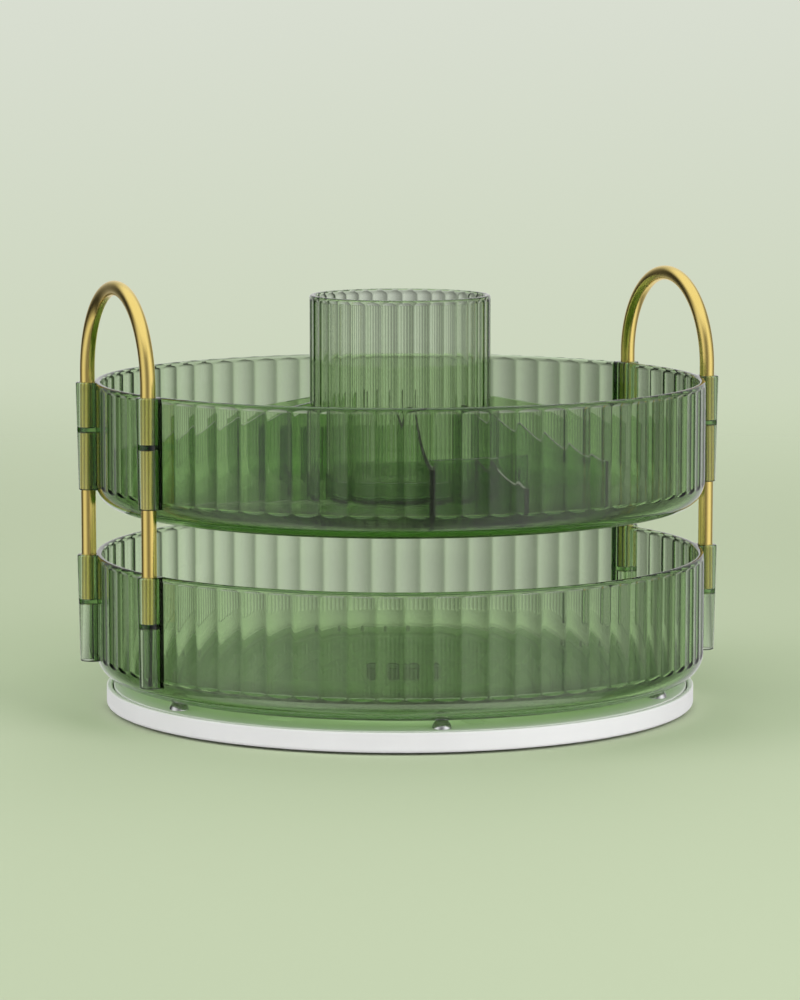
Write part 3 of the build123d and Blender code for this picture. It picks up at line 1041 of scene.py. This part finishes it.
def add_floor():
    """A pale floor that fades into the backdrop well away from the object.

    Metal and clear plastic see past it.
    """
    mesh = bpy.data.meshes.new("floor")
    low, high = -FLOOR_HALF, FLOOR_HALF
    mesh.from_pydata([(low, low, 0), (high, low, 0), (high, high, 0), (low, high, 0)], [], [(0, 1, 2, 3)])
    plane = bpy.data.objects.new("floor", mesh)
    bpy.context.scene.collection.objects.link(plane)
    material, tree, output = node_material("floor_paint")
    path = add_node(tree, "ShaderNodeLightPath").outputs
    bounce = add_node(tree, "ShaderNodeBsdfDiffuse", {"Color": BOUNCE_COLOUR}).outputs[0]
    seen = add_node(tree, "ShaderNodeBsdfDiffuse", {"Color": FLOOR_COLOUR}).outputs[0]
    clear = add_node(tree, "ShaderNodeBsdfTransparent").outputs[0]
    paint = mixed(tree, path["Is Camera Ray"], bounce, seen)
    paint = mixed(tree, path["Is Glossy Ray"], paint, clear)
    place = add_node(tree, "ShaderNodeTexCoord")
    away = add_node(tree, "ShaderNodeVectorMath", {0: place.outputs["Object"]})
    away.operation = "LENGTH"
    fade = mapped(tree, away.outputs["Value"], FLOOR_FADE, (0, 1), "SMOOTHSTEP")
    feed(tree, output.inputs["Surface"], mixed(tree, fade, paint, clear))
    mesh.materials.append(material)


def background(tree, colour, strength):
    """A light from all round, with its colour and strength each a plain value or a socket."""
    return add_node(tree, "ShaderNodeBackground", {"Color": colour, "Strength": strength}).outputs[0]


def soft_panels(tree, azimuth, count, middle, mean, swing, lean):
    """The strength of upright panels of light round the object, with soft edges.

    One is at the middle angle, and by the lean it is brighter than the ones across from it.
    """
    turn = math_node(tree, "SUBTRACT", azimuth, math.radians(middle))
    wave = math_node(tree, "COSINE", math_node(tree, "MULTIPLY", turn, count))
    once = math_node(tree, "COSINE", turn)
    panels = math_node(tree, "ADD", math_node(tree, "MULTIPLY", wave, swing), mean)
    return math_node(tree, "ADD", panels, math_node(tree, "MULTIPLY", once, lean))


def set_world():
    """Even light, a pale green backdrop for the camera, and soft panels in clear plastic and metal."""
    world = bpy.data.worlds.new("studio")
    bpy.context.scene.world = world
    world.use_nodes = True
    tree = world.node_tree
    tree.nodes.clear()
    output = add_node(tree, "ShaderNodeOutputWorld")
    place = add_node(tree, "ShaderNodeTexCoord")
    split = add_node(tree, "ShaderNodeSeparateXYZ", {0: place.outputs["Generated"]})
    up = split.outputs["Z"]
    azimuth = math_node(tree, "ARCTAN2", split.outputs["Y"], split.outputs["X"])

    stops = (FLOOR_STOP, FLOOR_COLOUR), (SKY_STOP, SKY_COLOUR), (HORIZON_STOP, HORIZON_COLOUR)
    backdrop = ramped(tree, mapped(tree, up, (-1, 1), (0, 1)), *stops)
    dimmed = mapped(tree, up, THROUGH_HEIGHTS, (1, THROUGH_TOP), "SMOOTHSTEP")
    through = math_node(tree, "MULTIPLY", soft_panels(tree, azimuth, **THROUGH_PANELS), dimmed)
    overhead = mapped(tree, up, MIRROR_HEIGHTS, (0, MIRROR_TOP), "SMOOTHSTEP")
    mirrored = math_node(tree, "MAXIMUM", soft_panels(tree, azimuth, **MIRROR_PANELS), overhead)

    path = add_node(tree, "ShaderNodeLightPath").outputs
    shown = background(tree, AMBIENT_COLOUR, AMBIENT_STRENGTH)
    shown = mixed(tree, path["Is Camera Ray"], shown, background(tree, backdrop, 1.0))
    shown = mixed(tree, path["Is Glossy Ray"], shown, background(tree, MIRROR_COLOUR, mirrored))
    shown = mixed(tree, path["Is Transmission Ray"], shown, background(tree, THROUGH_COLOUR, through))
    feed(tree, output.inputs["Surface"], shown)


def direction(azimuth, elevation):
    """A unit vector towards a camera or lamp at these angles, with azimuth 0 in front."""
    a, e = math.radians(azimuth), math.radians(elevation)
    return Vector((math.sin(a) * math.cos(e), -math.cos(a) * math.cos(e), math.sin(e)))


def aim(thing, azimuth, elevation, distance):
    """Puts a camera or lamp at these angles and this distance from the object, and points it there."""
    away = direction(azimuth, elevation) * distance
    thing.location = VIEW_TARGET + away
    thing.rotation_mode = "QUATERNION"
    thing.rotation_quaternion = (-away).to_track_quat("-Z", "Y")


def add_softbox(name, turn, elevation, distance, width, height, power):
    """A soft rectangular lamp that lights the object but isn't seen in it."""
    light = bpy.data.lights.new(name, "AREA")
    light.shape = "RECTANGLE"
    light.size = width
    light.size_y = height
    light.energy = power
    lamp = bpy.data.objects.new(name, light)
    bpy.context.scene.collection.objects.link(lamp)
    aim(lamp, VIEW_AZIMUTH + turn, elevation, distance)
    lamp.visible_camera = False
    lamp.visible_transmission = False
    lamp.visible_glossy = False


def add_camera():
    """The camera at the photograph's viewing angle."""
    data = bpy.data.cameras.new("camera")
    data.sensor_width = VIEW_SENSOR
    data.lens = VIEW_LENS
    data.clip_start, data.clip_end = VIEW_CLIP
    camera = bpy.data.objects.new("camera", data)
    bpy.context.scene.collection.objects.link(camera)
    aim(camera, VIEW_AZIMUTH, VIEW_ELEVATION, VIEW_DISTANCE)
    bpy.context.scene.camera = camera


def set_render_paths():
    """Enough bounces for light to pass through every wall of both trays, and plain colours."""
    cycles = bpy.context.scene.cycles
    cycles.max_bounces = 32
    cycles.transmission_bounces = 32
    cycles.glossy_bounces = 8
    cycles.transparent_max_bounces = 64
    cycles.caustics_reflective = False
    cycles.caustics_refractive = False
    bpy.context.scene.view_settings.view_transform = "Standard"


build()
add_floor()
set_world()
for lamp in LAMPS:
    add_softbox(*lamp)
add_camera()
set_render_paths()
